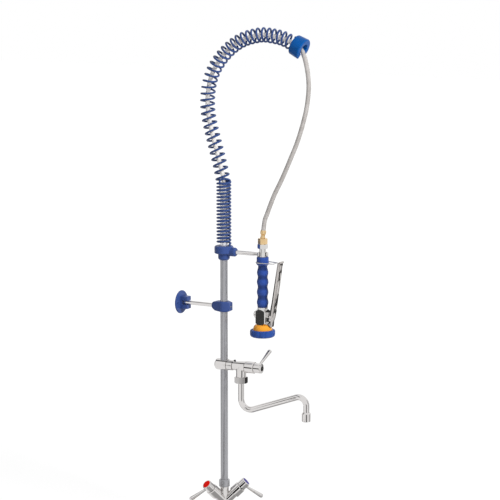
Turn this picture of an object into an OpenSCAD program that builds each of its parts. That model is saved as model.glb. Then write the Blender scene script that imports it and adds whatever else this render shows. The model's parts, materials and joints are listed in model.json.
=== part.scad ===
// Pre rinse faucet: a deck-mounted mixer, a riser with a swing spout, a wall bracket, a spring that
// carries the hose in an arch, and a spray gun in a hook.
// Origin: on the axis of the riser, on the deck. +Z up, -Y towards the user, +Y towards the wall.

/* [Mixer] */
// Radius of the base flange
flange_r = 26; // [24:0.5:32]
// Radius of the threaded shank below the deck
shank_r = 16.5; // [15:0.5:19]
// Length of the shank below the deck
shank_l = 55; // [40:1:80]
// Radius of the body's column
column_r = 17; // [16:0.5:20]
// Height where the arms meet the riser axis
junction_z = 37; // [36:1:56]
// Radius of the arms
arm_r = 12.5; // [11.5:0.5:14]
// Length of an arm from the junction to its end face
arm_l = 44; // [40:1:54]
// Angle of each arm from the vertical, seen from the front
arm_spread = 42; // [36:1:50]
// Lean of the arms towards the user
arm_lean = 20; // [0:1:25]
// Turn of the mixer on the deck
mixer_turn = -45; // [-90:1:0]
// Radius of the supply inlets
inlet_r = 4.5; // [3.5:0.5:5]
// Depth of the supply inlets
inlet_l = 16; // [10:1:20]

/* [Handle valves] */
// Radius of the sleeve under a handle
bonnet_r = 16; // [14.5:0.5:19]
// Length of the sleeve
bonnet_l = 26; // [22:1:32]
// Radius of a handle hub
hub_r = 13.5; // [12:0.5:16]
// Length of a handle hub
hub_l = 20.5; // [16:0.5:25]
// Radius of a coloured button
index_r = 10.9; // [8:0.1:11]
// Radius of a spindle
stem_r = 4; // [3:0.1:5]
// Free length of a lever
lever_l = 50; // [44:1:60]
// Lean of a lever away from the body
lever_lean = 15; // [0:1:20]
// Radius of a lever at its hub
lever_root_r = 3.4; // [2.5:0.1:4.5]
// Radius of a lever at its end
lever_tip_r = 6; // [4.5:0.1:7.5]

/* [Riser] */
// Radius of the riser pipe
riser_r = 10; // [8:0.5:11]
// Wall of the riser pipe
riser_wall = 1.5; // [1:0.1:3]
// Wall of the riser nut round the mixer's neck
riser_nut_wall = 2.5; // [2:0.1:5]
// Height of the riser nut
riser_nut_h = 19; // [16:1:24]
// Height of the end of the mixer's neck
neck_top = 85; // [80:1:110]
// Height of the spout valve's axis
valve_z = 415; // [380:1:460]
// Height of the top of the riser
riser_top = 884; // [800:1:1060]

/* [Spout valve] */
// Radius of the tee
tee_r = 15.5; // [14.5:0.5:19]
// Length of the tee behind the riser
tee_back = 24; // [20:1:30]
// Radius of the union nut
union_r = 14; // [13:0.5:17]
// Length of the union nut
union_l = 17; // [15:1:22]
// Radius of the valve body at the union nut
valve_r = 12; // [11.5:0.5:14]
// Distance from the riser to the end of the valve body
valve_end = 76; // [70:1:92]
// Radius of the valve body's neck over the spout
neck_r = 13.9; // [13:0.1:16]
// Direction of the spout valve's lever, up from the horizontal
spout_lever_angle = 45; // [0:1:90]

/* [Spout] */
// Distance from the riser to the swivel axis of the spout
spout_f = 52; // [46:1:56]
// Distance from the swivel axis to the outlet
spout_reach = 196; // [150:1:250]
// Radius of the spout tube
spout_r = 8.3; // [7:0.1:9.5]
// Wall of the spout tube
spout_wall = 1.5; // [1:0.1:2.5]
// Drop from the valve's axis to the first bend
spout_drop = 88; // [80:1:110]
// Rise of the spout's arm
spout_rise = 20; // [0:0.1:30]
// Radius of the first bend
bend_1 = 27; // [20:1:34]
// Radius of the second bend
bend_2 = 22; // [18:1:30]
// Length across the flats of the spout nut
spout_nut_af = 31; // [30:0.5:38]
// Radius of the aerator housing
aerator_r = 12.2; // [11:0.1:15]
// Height of the aerator housing
aerator_h = 24.5; // [20:0.5:30]

/* [Wall bracket] */
// Height of the wall bracket
bracket_z = 573; // [540:1:620]
// Distance from the riser to the wall
wall_f = 134; // [115:1:170]
// Radius of the bracket's rod
rod_r = 5.6; // [4.5:0.1:6.5]
// Height of the clamp on the riser
clamp_h = 27.6; // [24:0.1:34]
// Radius of the clamp round the riser
clamp_r = 17; // [15:0.5:21]
// Radius of the wall disc
disc_r = 31.2; // [29:0.1:38]
// Thickness of the wall disc
disc_t = 4; // [3:0.5:6]
// Distance between the screw holes of the wall disc
disc_holes = 44; // [40:1:48]
// Radius of the screw holes of the wall disc
disc_hole_r = 2.6; // [2:0.1:3]

/* [Hook] */
// Distance from the riser to the axis of the spray gun
gun_f = 117; // [100:1:140]
// Radius of the seat of the spring
seat_r = 25.3; // [22.5:0.1:30]
// Height of the seat of the spring
seat_h = 20.5; // [17:0.5:26]
// Radius of the clamp below the seat
hook_r = 15.6; // [14:0.1:19]
// Radius of the hook's rod
hook_rod_r = 5.6; // [4.5:0.1:6]
// Outer radius of the hook's eye
eye_r = 15.5; // [15:0.1:18]
// Clearance between the hook's eye and the gun's collar
eye_clearance = 1.3; // [0.8:0.1:2.5]
// Height of the hook's eye
eye_h = 11; // [8:0.5:12]

/* [Spring] */
// Radius of the coils, at the middle of the wire
coil_r = 17.5; // [17:0.5:20]
// Diameter of the wire
wire_d = 5.4; // [4:0.1:5.8]
// Number of close coils round the riser
close_coils = 19; // [14:1:22]
// Number of open coils over the arch
open_coils = 35; // [28:1:40]
// Outer radius of the end ring at its open face
ring_r = 28.5; // [26:0.5:32]
// Radius of the hole in the end ring
ring_bore_r = 14; // [13:0.5:16]
// Length of the end ring
ring_l = 30.5; // [24:0.5:36]

/* [Hose] */
// Diameter of the hose
hose_d = 12; // [10:0.5:14]
// Radius of the brass ferrule
ferrule_r = 7.75; // [7:0.05:9]
// Length of the brass ferrule
ferrule_l = 22; // [18:1:30]

/* [Spray gun] */
// Radius of the gun's tube in the grip
gun_tube_r = 8; // [7:0.1:9]
// Length of the grip
grip_l = 134; // [120:1:160]
// Largest radius of the grip's lobes
lobe_r = 15.4; // [14.5:0.1:17]
// Radius of the shoulder under the hold ring
shoulder_r = 17.3; // [17:0.1:18.5]
// Width of the square valve body
body_w = 30; // [26:0.5:34]
// Height of the valve body
body_h = 42; // [38:1:50]
// Radius of the rear plug
plug_r = 10.5; // [10:0.5:14]
// Height of the cone above the bumper ring's lower edge
cone_h = 33.5; // [28:0.5:38]
// Radius of the bumper ring
bumper_r = 33.5; // [31:0.5:40]
// Height of the bumper ring
bumper_h = 19.5; // [18:0.5:24]
// Width of the lever at the hand
trigger_w = 22; // [18:0.5:23]
// Length of the lever above its pin
trigger_l = 171; // [150:1:172]

/* [Hidden] */
$fn = 48;

// Clearances: a running fit, a seated joint, and a joint that may turn past its neighbour.
run_gap = 0.06;
seat_gap = 0.1;
turn_gap = 0.4;
eps = 0.01; // overlap that keeps a cut clean

// Mixer
seal_t = 2;
shank_wall = 4;
shank_neck_r = shank_r - 1.5;
shank_neck_l = 12;
flange_t = 6;
inlet_f = 6.5;
mixer_passage_r = 6;
body_neck_r = riser_r + 2;
riser_nut_r = body_neck_r + seat_gap + riser_nut_wall;
riser_collar_h = 3.5;

// Handle valve, measured along its axis from the lower end of its sleeve
arm_in_bonnet = 8;
cartridge_r = 9;
cartridge_depth = 12;
head_r = arm_r - 1;
head_h = 9;
nose_r = 6;
nose_h = 8;
disc_seal_r = 7.2;
disc_seal_h = 6.4;
bonnet_cavity = arm_in_bonnet + head_h;
hub_w = bonnet_l + turn_gap;
lever_w = hub_w + 7;
index_w = hub_w + hub_l - 1.5;
stem_top = index_w - 2.5;
lever_in = stem_r + 2;

// Spout valve
tee_front = riser_r + 1.5;
tee_socket = 5;
spigot_r = union_r - 3;
spigot_l = 8;
union_lip = 3;
tail_r = union_r - 4.5;
valve_f = tee_front + union_l + 0.5;
bore_water_r = 6;
lock_f = valve_f + 4;
lock_r = 2.6;
lock_l = 8.6;

// Spout
swivel_top = valve_z - 15;
nut_h = 17;
nut_top = valve_z - 28;
nut_lip = 6;
thread_r = neck_r - 1.4;
collar_h = 3;
collar_r = thread_r - 0.3;
arm_len = (spout_reach - (bend_1 + bend_2) * (1 + sin(spout_rise))) / cos(spout_rise);
bend_1_z = valve_z - spout_drop;
bend_1_end = [bend_1 * (1 + sin(spout_rise)), bend_1_z - bend_1 * cos(spout_rise)];
arm_end = bend_1_end + arm_len * [cos(spout_rise), sin(spout_rise)];
bend_2_c = arm_end + bend_2 * [sin(spout_rise), -cos(spout_rise)];
tail_l = 25;
aerator_z = bend_2_c[1] - 16;
insert_h = 11;

// Wall bracket
clamp_front = 20.7;
clamp_back = 33;
boss_r = 9.5;
rod_start = 16;
fork_l = 22;
fork_w = 20;
fork_h = 36;
pivot_f = wall_f - disc_t - 14;
rod_end = pivot_f + 6;
pivot_r = 2.5;
set_screw_r = 2.6;

// Hook: heights hang from the top of the riser, as the spring, the hose and the gun do
seat_z = riser_top - 148;
hook_foot = 17.5;
hook_z = seat_z - 15;
hook_boss_r = 12;
hook_boss_f = 38;
hook_rod_in = 24;
eye_gap = 90;
collar_step = 2;
eye_bore_r = gun_tube_r + collar_step + eye_clearance;
hook_screw_turn = 60;
spring_len_close = 173;
top_nut_af = 2 * riser_r + 2;

// Hose route as [forward, above the top of the riser]; the arch is shared with the spring
arch = [
  [-13, 73], [-23, 108], [-33, 143], [-42, 177], [-48, 212], [-48, 247], [-42, 283], [-30, 314],
  [-13, 340], [8, 363], [33, 383], [61, 398], [92, 407], [118, 411], [144, 409], [177, 403],
  [209, 389],
];
ferrule_tilt = 6;
hose_start = [[0, 16], [-1, 30], [-6, 50]];
hose_fall = [
  [221, 382], [231, 373], [237, 360], [242, 345], [248, 317], [251, 285], [249, 253], [244, 222],
  [236, 191], [226, 159], [214, 127], [200, 96], [186, 65], [170, 32], [153, 0], [139, -32],
  [130, -55], [124, -69], [121, -85],
];
hose_end = [gun_f + ferrule_l * sin(ferrule_tilt), -98 - ferrule_l * (1 - cos(ferrule_tilt))];
hose_route = concat(hose_start, arch, hose_fall, [hose_end]);
spring_line = concat([for (z = [-148:24:-4]) [0, z]], [[-1, 20], [-6, 45]], arch);
ring_axis = [0.905, -0.425];
ring_gap_from = -20;
ring_gap_to = 58;

// Spray gun, in heights from the deck
hose_end_z = riser_top - 98;
swivel_z = hose_end_z - ferrule_l - 27;
swivel_h = 12;
hose_nut_h = 15;
hose_nut_af = 22;
swivel_af = 24;
grip_top = riser_top - 169;
grip_bottom = grip_top - grip_l;
eye_z = grip_top + 1.5;
collar_z = grip_bottom - 4;
body_top = collar_z;
body_bottom = body_top - body_h;
valve_axis_z = body_bottom + 25.5;
chamber_r = 8.1;
gland_bore_r = 5;
gun_stem_r = 3;
stem_tip_f = 33.15;
shaft_r = 7.9;
cone_z = body_bottom - cone_h;
cone_top_r = 16;
cone_r = bumper_r - 7.8;
cone_wall = 3;
face_t = 3;
ring_z = grip_top - 14.6;
ring_wire_r = 1.3;
ring_back_r = shoulder_r + 0.6;
ring_corner_r = 4.5;
ring_corner = [9.8, 33.7];
pin_f = 25;
pin_z = body_bottom + 2;
pin_r = 2;
sheet_t = 2;
flange_sheet = 1.6;
trigger_tilt = 8.4;
trigger_d = 4.8;
trigger_foot_w = 13;

chrome = "silver";
steel = [0.6, 0.6, 0.6];
blue = [0.16, 0.25, 0.55];

// ---- functions ----

// Points along an arc
function arc(c, r, from, to, n = 6) =
  [for (i = [0:n]) let (a = from + (to - from) * i / n) c + r * [cos(a), sin(a)]];

function unit(v) = v / norm(v);

// A point of a Catmull-Rom curve between b and c
function curve_at(a, b, c, d, t) =
  0.5 * (2 * b + (c - a) * t + (2 * a - 5 * b + 4 * c - d) * t * t
         + (3 * b - a - 3 * c + d) * t * t * t);

function smooth(p, n) = concat(
  [for (i = [0:len(p) - 2], k = [0:n - 1])
    curve_at(p[max(i - 1, 0)], p[i], p[i + 1], p[min(i + 2, len(p) - 1)], k / n)],
  [p[len(p) - 1]]);

// The distance along a line to each of its points
function distances(p) =
  [for (i = 0, s = 0; i < len(p); i = i + 1, s = i < len(p) ? s + norm(p[i] - p[i - 1]) : s) s];

// A smooth step from 0 to 1
function ease(t) = (1 - cos(180 * t)) / 2;

// The unit direction of a line of points at point i: set at its ends, or round a closed loop
function heading(p, i, first, last) =
  i == 0 && !is_undef(first) ? first : i == len(p) - 1 && !is_undef(last) ? last
  : let (n = len(p)) unit(unit(p[(i + 1) % n] - p[i]) + unit(p[i] - p[(i + n - 1) % n]));

// ---- shared shapes ----

// Turns the local +Y to the user's side, -Y
module facing() rotate([0, 0, 180]) children();

// Lays the local +Z along the user's side, -Y, at a height
module forward(z) translate([0, 0, z]) rotate([90, 0, 0]) children();

module bar(r, from, to) translate([0, 0, from]) cylinder(r = r, h = to - from);

module ring(r, bore_r, from, to) difference() {
  bar(r, from, to);
  bar(bore_r, from - eps, to + eps);
}

module hex(af, from, to) translate([0, 0, from]) cylinder(r = af / 2 / cos(30), h = to - from, $fn = 6);

// A hexagon whose corners are turned off at both ends
module turned_hex(af, from, to) intersection() {
  hex(af, from, to);
  rotate_extrude() polygon([
    [0, from], [af / 2 + 0.2, from], [af / 2 + 2.2, from + 1.2],
    [af / 2 + 2.2, to - 1.2], [af / 2 + 0.2, to], [0, to]]);
}

// A solid tube swept along 3D points, with one side direction for each; a closed loop has no
// first and last direction
module sweep(p, side, d, sides, first, last) {
  rings = [for (i = [0:len(p) - 1])
    let (t = heading(p, i, first, last), u = unit(side[i] - t * (side[i] * t)), v = cross(t, u))
    [for (k = [0:sides - 1]) let (a = 360 * k / sides) p[i] + d / 2 * (cos(a) * u + sin(a) * v)]];
  n = len(p);
  open = !is_undef(first);
  last_ring = (n - 1) * sides;
  polyhedron(
    [for (r = rings, q = r) q],
    concat(
      open ? [for (k = [1:sides - 2]) [0, k, k + 1]] : [],
      open ? [for (k = [1:sides - 2]) [last_ring, last_ring + k + 1, last_ring + k]] : [],
      [for (i = [0:open ? n - 2 : n - 1], k = [0:sides - 1])
        let (a = i * sides, b = (i + 1) % n * sides, m = (k + 1) % sides) [a + k, b + k, a + m]],
      [for (i = [0:open ? n - 2 : n - 1], k = [0:sides - 1])
        let (a = i * sides, b = (i + 1) % n * sides, m = (k + 1) % sides) [a + m, b + k, b + m]]));
}

// ---- handle valve, along +Z ----

module cartridge() color("goldenrod") difference() {
  union() {
    bar(cartridge_r, arm_in_bonnet - cartridge_depth, arm_in_bonnet);
    bar(head_r, arm_in_bonnet, bonnet_cavity);
    bar(nose_r, bonnet_cavity, bonnet_cavity + nose_h);
  }
  bar(stem_r + run_gap, -cartridge_depth, bonnet_l + eps);
  bar(disc_seal_r + seat_gap, -cartridge_depth, arm_in_bonnet - cartridge_depth + disc_seal_h + seat_gap);
}

module bonnet() color(chrome) rotate_extrude() polygon([
  [arm_r + seat_gap, 0], [bonnet_r - 1, 0], [bonnet_r, 1], [bonnet_r, bonnet_l - 1.5],
  [bonnet_r - 1.5, bonnet_l], [nose_r + seat_gap, bonnet_l], [nose_r + seat_gap, bonnet_cavity],
  [arm_r + seat_gap, bonnet_cavity]]);

module stem() color("dimgray") {
  bar(disc_seal_r, arm_in_bonnet - cartridge_depth + run_gap, arm_in_bonnet - cartridge_depth + disc_seal_h);
  bar(stem_r, arm_in_bonnet - cartridge_depth + disc_seal_h - eps, stem_top);
}

module hub() color(chrome) difference() {
  rotate_extrude() polygon(concat(
    [[stem_r + seat_gap, hub_w], [hub_r - 0.8, hub_w], [hub_r, hub_w + 0.8]],
    arc([hub_r - 2, hub_w + hub_l - 2], 2, 0, 90, 4),
    [[index_r + seat_gap, hub_w + hub_l], [index_r + seat_gap, index_w], [stem_r + seat_gap, index_w]]));
  translate([0, 0, lever_w]) rotate([0, 90 - lever_lean, 0])
    bar(lever_root_r + seat_gap, lever_in, hub_r + 6);
}

module lever() color(chrome) translate([0, 0, lever_w]) rotate([0, 90 - lever_lean, 0])
  rotate_extrude() polygon(concat(
    [[0, lever_in], [lever_root_r, lever_in], [lever_root_r, hub_r]],
    arc([0, hub_r + lever_l - lever_tip_r], lever_tip_r, 0, 90, 8)));

// A domed button with a short spigot
module button(c) color(c) rotate_extrude() polygon([
  [0, stem_top], [stem_r, stem_top], [stem_r, index_w], [index_r, index_w],
  [index_r, index_w + 1.6], [index_r * 0.7, index_w + 2.2], [0, index_w + 2.5]]);

// Places a handle valve on the hot arm (side -1) or the cold arm (side 1) of the mixer
module on_arm(side) rotate([0, 0, mixer_turn]) translate([0, 0, junction_z])
  rotate([arm_lean, 0, 0]) rotate([0, side * arm_spread, 0])
    translate([0, 0, arm_l - arm_in_bonnet]) children();

module on_spout_valve() forward(valve_z) translate([0, 0, valve_end - arm_in_bonnet]) children();

hot_lever_turn = 192;
cold_lever_turn = -29;

// ---- mixer ----

module inlets() for (x = [-1, 1]) translate([x * inlet_f, 0, 0]) children();

module mixer_body() color(chrome) rotate([0, 0, mixer_turn]) difference() {
  union() {
    rotate_extrude() polygon(concat(
      [[0, seal_t], [flange_r, seal_t], [flange_r, seal_t + flange_t - 2]],
      arc([flange_r - 2, seal_t + flange_t - 2], 2, 0, 90, 4),
      [[column_r + 2, seal_t + flange_t + 1], [column_r, seal_t + flange_t + 4],
       [column_r, junction_z], [body_neck_r, junction_z + 14], [body_neck_r, neck_top], [0, neck_top]]));
    for (side = [-1, 1])
      translate([0, 0, junction_z]) rotate([arm_lean, 0, 0]) rotate([0, side * arm_spread, 0])
        cylinder(r = arm_r, h = arm_l);
    translate([0, 0, junction_z]) sphere(r = column_r);
  }
  bar(shank_neck_r + seat_gap, seal_t - eps, seal_t + shank_neck_l);
  bar(mixer_passage_r, junction_z, neck_top + eps);
  inlets() bar(inlet_r, seal_t, seal_t + shank_neck_l + inlet_l);
  for (side = [-1, 1])
    translate([0, 0, junction_z]) rotate([arm_lean, 0, 0]) rotate([0, side * arm_spread, 0]) {
      cylinder(r = stem_r, h = arm_l);
      bar(cartridge_r + seat_gap, arm_l - cartridge_depth, arm_l + eps);
    }
}

module base_seal() color("black") ring(flange_r - 1, shank_r + seat_gap, 0, seal_t);

module mounting_shank() color("darkgoldenrod") difference() {
  union() {
    bar(shank_r, -shank_l, 0);
    bar(shank_neck_r, -eps, seal_t + shank_neck_l);
  }
  bar(shank_r - shank_wall, -shank_l - eps, seal_t + shank_neck_l + eps);
}

// ---- riser ----

module riser_nut() color(steel) rotate_extrude() polygon([
  [body_neck_r + seat_gap, neck_top - 5], [riser_nut_r - 0.8, neck_top - 5],
  [riser_nut_r, neck_top - 4.2], [riser_nut_r, neck_top - 5 + riser_nut_h - 1.5],
  [riser_nut_r - 1.5, neck_top - 5 + riser_nut_h], [riser_r + seat_gap, neck_top - 5 + riser_nut_h],
  [riser_r + seat_gap, neck_top + riser_collar_h], [body_neck_r + seat_gap, neck_top + riser_collar_h]]);

module riser_lower() color(steel) difference() {
  union() {
    bar(riser_r, neck_top, valve_z - tee_r + tee_socket + 3);
    bar(body_neck_r - seat_gap, neck_top, neck_top + riser_collar_h);
  }
  bar(riser_r - riser_wall, neck_top - eps, valve_z);
}

module riser_upper() color(steel)
  ring(riser_r, riser_r - riser_wall, valve_z + tee_r - tee_socket - 3, riser_top);

module hose_top_nut() color("goldenrod") difference() {
  turned_hex(top_nut_af, riser_top - 12, riser_top + hose_start[0][1]);
  bar(riser_r + seat_gap, riser_top - 12 - eps, riser_top);
  bar(hose_d / 4, riser_top - eps, riser_top + hose_start[0][1] + eps);
}

// ---- spout valve ----

module tee_body() color(chrome) difference() {
  forward(valve_z) {
    rotate_extrude() polygon(concat(
      [[0, tee_front], [tee_r, tee_front]],
      arc([tee_r - 6, 6 - tee_back], 6, 0, -90, 6),
      [[0, -tee_back]]));
    bar(spigot_r, tee_front - eps, tee_front + spigot_l);
  }
  bar(riser_r + seat_gap, valve_z - tee_r - eps, valve_z - tee_r + tee_socket + 3);
  bar(riser_r + seat_gap, valve_z + tee_r - tee_socket - 3, valve_z + tee_r + eps);
  bar(riser_r - riser_wall, valve_z - tee_r, valve_z + tee_r);
  forward(valve_z) bar(bore_water_r, 0, tee_front + spigot_l + eps);
}

module union_nut() color(chrome) forward(valve_z) rotate_extrude() polygon([
  [spigot_r + seat_gap, tee_front + 0.2], [union_r - 1, tee_front + 0.2], [union_r, tee_front + 1.2],
  [union_r, tee_front + union_l - 1], [union_r - 1, tee_front + union_l],
  [tail_r + seat_gap, tee_front + union_l], [tail_r + seat_gap, tee_front + spigot_l + union_lip],
  [spigot_r + seat_gap, tee_front + spigot_l + union_lip]]);

module spout_valve_body() color(chrome) difference() {
  union() {
    forward(valve_z) {
      rotate_extrude() polygon([
        [0, valve_f], [valve_r - 0.8, valve_f], [valve_r, valve_f + 0.8],
        [bonnet_r - 1.2, valve_end - 10], [bonnet_r - 0.6, valve_end - arm_in_bonnet - 0.2],
        [arm_r, valve_end - arm_in_bonnet - 0.2], [arm_r, valve_end], [0, valve_end]]);
      bar(tail_r, tee_front + spigot_l, valve_f + eps);
      bar(spigot_r - seat_gap, tee_front + spigot_l, tee_front + spigot_l + union_lip);
    }
    translate([0, -spout_f, 0]) {
      bar(neck_r, nut_top + 0.2, valve_z);
      bar(thread_r, nut_top - nut_h + nut_lip + collar_h + 0.5, valve_z);
    }
  }
  forward(valve_z) {
    bar(bore_water_r, tee_front + spigot_l - eps, valve_end - cartridge_depth - 2);
    bar(stem_r, valve_end - cartridge_depth - 3, valve_end);
    bar(cartridge_r + seat_gap, valve_end - cartridge_depth, valve_end + eps);
  }
  translate([0, -spout_f, 0]) {
    bar(spout_r + run_gap, 0, swivel_top + 1);
    bar(bore_water_r - 0.5, swivel_top, valve_z - 2);
  }
  translate([0, -lock_f, valve_z + valve_r - 5]) cylinder(r = lock_r + seat_gap, h = 12);
}

module spout_lock_screw() color("dimgray")
  translate([0, -lock_f, valve_z + valve_r - 5]) cylinder(r = lock_r, h = lock_l);

// ---- spout ----

module spout_nut() color(chrome) translate([0, -spout_f, 0]) difference() {
  turned_hex(spout_nut_af, nut_top - nut_h, nut_top);
  bar(spout_r + turn_gap, nut_top - nut_h - eps, nut_top);
  bar(thread_r + seat_gap, nut_top - nut_h + nut_lip, nut_top + eps);
}

// A thin joint over the seam between a straight length and a bend
module spout_joint() ring(spout_r + 0.05, spout_r - spout_wall - 0.05, -0.5, 0.5);

// A straight length of the spout's tube, which stops just short of the bends it has a joint to
module spout_straight(l, first = true, last = true) {
  ring(spout_r, spout_r - spout_wall, first ? 0.1 : 0, last ? l - 0.1 : l);
  if (first) spout_joint();
  if (last) translate([0, 0, l]) spout_joint();
}

module spout_bend(r) rotate_extrude(angle = 90 + spout_rise) translate([r, 0]) difference() {
  circle(spout_r);
  circle(spout_r - spout_wall);
}

module spout_tube() color(chrome) translate([0, -spout_f, 0]) rotate([0, 0, -90]) {
  translate([0, 0, bend_1_z]) spout_straight(swivel_top - bend_1_z, last = false);
  ring(collar_r, spout_r - 0.5, nut_top - nut_h + nut_lip + seat_gap, nut_top - nut_h + nut_lip + collar_h);
  translate([bend_1, 0, bend_1_z]) rotate([90, 0, 0]) rotate([0, 0, 180]) spout_bend(bend_1);
  translate([bend_1_end[0], 0, bend_1_end[1]]) rotate([0, 90 - spout_rise, 0]) spout_straight(arm_len);
  translate([bend_2_c[0], 0, bend_2_c[1]]) rotate([90, 0, 0]) spout_bend(bend_2);
  translate([spout_reach, 0, bend_2_c[1] - tail_l]) spout_straight(tail_l, first = false);
}

module at_outlet() translate([0, -spout_f - spout_reach, 0]) children();

module aerator_housing() color(chrome) at_outlet() rotate_extrude() polygon([
  [spout_r + seat_gap, aerator_z], [aerator_r - 3, aerator_z], [aerator_r, aerator_z - 3.5],
  [aerator_r, aerator_z - aerator_h + 1], [aerator_r - 1, aerator_z - aerator_h],
  [aerator_r - 1.6, aerator_z - aerator_h], [aerator_r - 1.6, aerator_z - aerator_h + insert_h + 1],
  [spout_r - 1, aerator_z - aerator_h + insert_h + 1], [spout_r - 1, bend_2_c[1] - tail_l],
  [spout_r + seat_gap, bend_2_c[1] - tail_l]]);

module aerator_insert() color("dimgray") at_outlet() difference() {
  bar(aerator_r - 1.6 - seat_gap, aerator_z - aerator_h + 1, aerator_z - aerator_h + insert_h + 1);
  bar(aerator_r - 3.6, aerator_z - aerator_h, aerator_z - aerator_h + insert_h - 2);
  for (n = [1:2], k = [0:6 * n - 1]) rotate([0, 0, 60 * k / n])
    translate([3 * n, 0, aerator_z - aerator_h]) cylinder(r = 0.9, h = insert_h + 2);
}

// ---- wall bracket ----

module wall_clamp() color(blue) facing() translate([0, 0, bracket_z]) difference() {
  hull($fn = 32) {
    bar(clamp_r, 3 - clamp_h / 2, clamp_h / 2 - 3);
    bar(clamp_r - 2.5, -clamp_h / 2, clamp_h / 2);
    translate([-9, clamp_front - 1, -10]) cube([18, 1, 20]);
    translate([-9, clamp_front - 2, -11]) cube([18, 1, 22]);
    rotate([90, 0, 0]) bar(boss_r, clamp_back - 5, clamp_back);
    translate([-10, -23, 1.5 - clamp_h / 2]) cube([20, 4, clamp_h - 3]);
  }
  bar(riser_r + run_gap, -clamp_h, clamp_h);
  rotate([90, 0, 0]) bar(rod_r + seat_gap, rod_start, clamp_back + eps);
  rotate([-90, 0, 0]) bar(set_screw_r + seat_gap, 0, clamp_front + eps);
}

module wall_clamp_screw() color("gray") facing() translate([0, 0, bracket_z]) rotate([-90, 0, 0])
  difference() {
    bar(set_screw_r, riser_r + run_gap + 0.1, clamp_front + 0.3);
    hex(2.5, clamp_front - 2.5, clamp_front + 1);
  }

module wall_rod() color(chrome) translate([0, 0, bracket_z]) difference() {
  rotate([-90, 0, 0]) bar(rod_r, rod_start, rod_end);
  translate([0, pivot_f, -rod_r - 1]) cylinder(r = pivot_r + run_gap, h = 2 * rod_r + 2);
}

module wall_flange() color(blue) translate([0, 0, bracket_z]) difference() {
  union() {
    translate([0, wall_f, 0]) rotate([90, 0, 0]) rotate_extrude() polygon([
      [0, 0], [disc_r, 0], [disc_r, disc_t - 1.5], [disc_r - 1.5, disc_t], [0, disc_t]]);
    hull($fn = 32) for (x = [-1, 1], z = [-1, 1])
      translate([x * (fork_w / 2 - 2), wall_f - disc_t - fork_l, z * (fork_h / 2 - 3)])
        rotate([-90, 0, 0]) {
          translate([0, 0, 1.5]) cylinder(r = 2, h = fork_l);
          cylinder(r = 1, h = 1);
        }
  }
  translate([-fork_w, wall_f - disc_t - fork_l - 1, -rod_r - 0.2])
    cube([2 * fork_w, fork_l - 4 + 1, 2 * rod_r + 0.4]);
  translate([0, pivot_f, -fork_h / 2 + 3]) cylinder(r = pivot_r + seat_gap, h = fork_h - 6);
  for (x = [-1, 1]) translate([x * disc_holes / 2, wall_f + eps, 0]) rotate([90, 0, 0])
    cylinder(r = disc_hole_r, h = disc_t + 1);
}

module wall_pivot_pin() color("gray") translate([0, pivot_f, bracket_z - fork_h / 2 + 3 + seat_gap])
  cylinder(r = pivot_r, h = fork_h - 6 - 2 * seat_gap);

// ---- hook ----

module hook_clamp() color(blue) facing() translate([0, 0, seat_z]) difference() {
  union() {
    rotate_extrude() polygon([
      [0, 0], [seat_r - 3, 0], [seat_r, -3], [seat_r, -seat_h + 2], [seat_r - 2, -seat_h],
      [hook_r, -seat_h], [hook_r, -seat_h - hook_foot + 4], [hook_r - 3.5, -seat_h - hook_foot],
      [0, -seat_h - hook_foot]]);
    translate([0, 0, hook_z - seat_z]) rotate([-90, 0, 0]) rotate_extrude() polygon(concat(
      [[0, 0]], [[hook_boss_r, 0]], arc([hook_boss_r - 5, hook_boss_f - 5], 5, 0, 90, 5),
      [[0, hook_boss_f]]));
  }
  bar(riser_r + seat_gap, -seat_h - hook_foot - eps, eps);
  translate([0, 0, hook_z - seat_z]) rotate([-90, 0, 0])
    bar(hook_rod_r + seat_gap, hook_rod_in, hook_boss_f + eps);
  translate([0, 0, -seat_h - 8]) rotate([0, 0, -hook_screw_turn]) rotate([-90, 0, 180])
    bar(set_screw_r + seat_gap, 0, hook_r + 1);
}

module hook_clamp_screw() color("gray") facing() translate([0, 0, seat_z - seat_h - 8])
  rotate([0, 0, -hook_screw_turn]) rotate([-90, 0, 180]) difference() {
    bar(set_screw_r, riser_r + seat_gap, hook_r + 0.3);
    hex(2.5, hook_r - 2, hook_r + 1);
  }

// A straight rod that ends in an eye with an open side towards the back
module hook_arm() color(chrome) facing() {
  difference() {
    translate([0, 0, hook_z]) rotate([-90, 0, 0]) bar(hook_rod_r, hook_rod_in, gun_f - eye_bore_r - 1.5);
    translate([0, gun_f, 0]) bar(eye_bore_r, eye_z - 1, eye_z + eye_h + 1);
  }
  translate([0, gun_f, 0]) rotate([0, 0, 75])
    rotate_extrude(angle = 360 - eye_gap) polygon([
      [eye_bore_r, eye_z + 1], [eye_bore_r + 1, eye_z], [eye_r - 1.5, eye_z], [eye_r, eye_z + 1.5],
      [eye_r, eye_z + eye_h - 1.5], [eye_r - 1.5, eye_z + eye_h], [eye_bore_r + 1, eye_z + eye_h],
      [eye_bore_r, eye_z + eye_h - 1]]);
}

// ---- spring and hose ----

line_points = smooth(spring_line, 6);
line_s = distances(line_points);
line_f = [for (i = [0:len(line_points) - 1]) [line_s[i], line_points[i][0]]];
line_z = [for (i = [0:len(line_points) - 1]) [line_s[i], line_points[i][1]]];
spring_l = line_s[len(line_s) - 1];
turns = close_coils + open_coils + 0.5; // the last half turn ends on the closed side of the ring
close_pitch = spring_len_close / close_coils;
open_pitch = (spring_l - 2 * wire_d - spring_len_close) / (open_coils + 0.5);

function line_at(s) = [lookup(s, line_f), lookup(s, line_z)];
function along(s) = unit(line_at(min(s + 3, spring_l)) - line_at(max(s - 3, 0)));
function spring_s(t) = wire_d + (t < close_coils ? t * close_pitch
  : spring_len_close + (t - close_coils) * open_pitch);
function to_3d(q) = [0, -q[0], riser_top + q[1]];
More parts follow.
